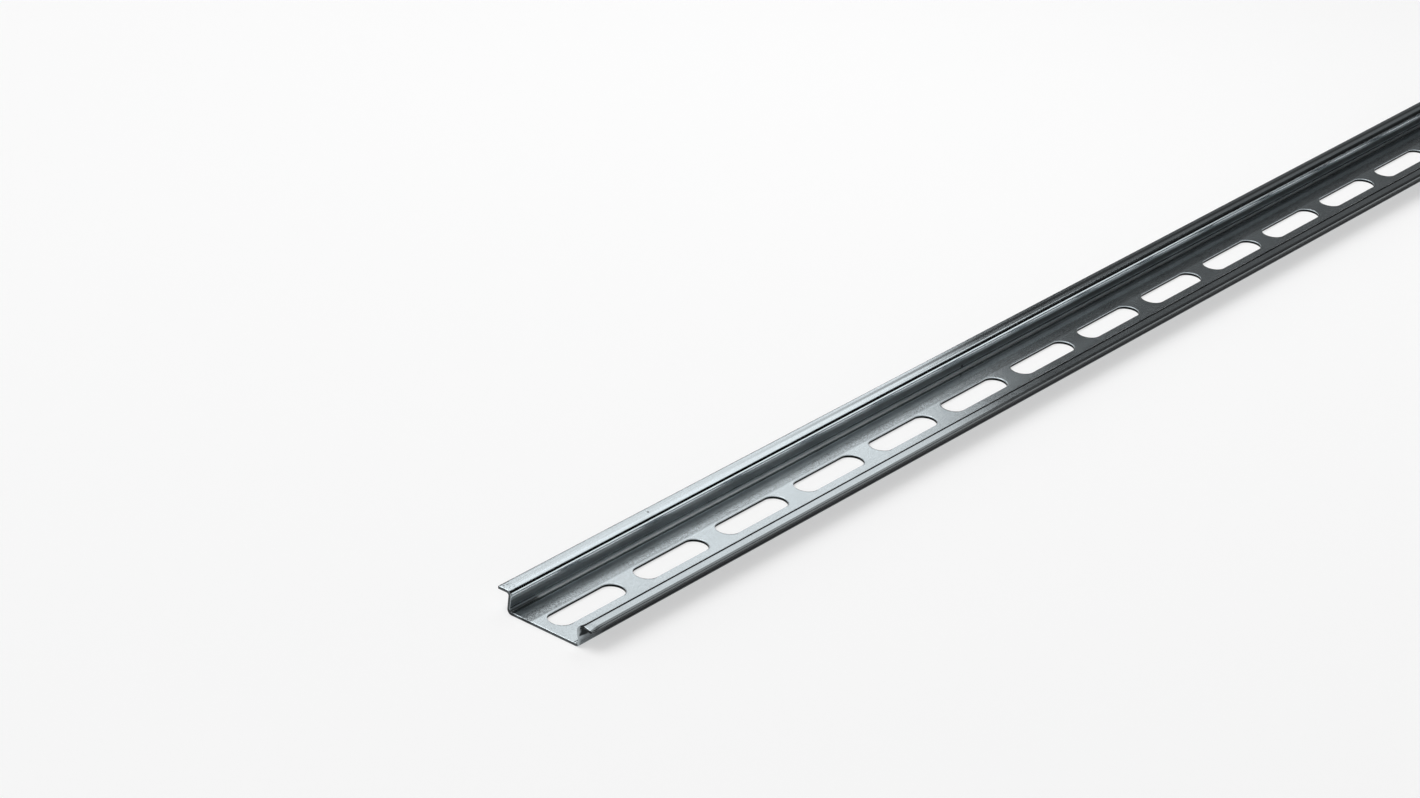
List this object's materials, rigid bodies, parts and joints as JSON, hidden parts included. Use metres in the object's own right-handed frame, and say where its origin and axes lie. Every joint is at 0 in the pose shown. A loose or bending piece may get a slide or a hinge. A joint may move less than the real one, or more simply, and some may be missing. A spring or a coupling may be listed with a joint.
{
  "type": "din rail",
  "caption": "Top-hat mounting rail: a shallow steel channel with a flange turned out along each side and a row of round-ended slots in its floor.",
  "frame": {"origin": "middle of the rail's length and width, on the back of the floor", "axes": "+X along the rail, +Y across it, +Z out of the channel's open side"},
  "size_m": [1, 0.035, 0.0075],
  "materials": {
    "zinc_plated_steel": "zinc-plated, blue passivated, fine rolling grain"
  },
  "bodies": {
    "root": {"rail": "zinc_plated_steel"}
  },
  "joints": []
}
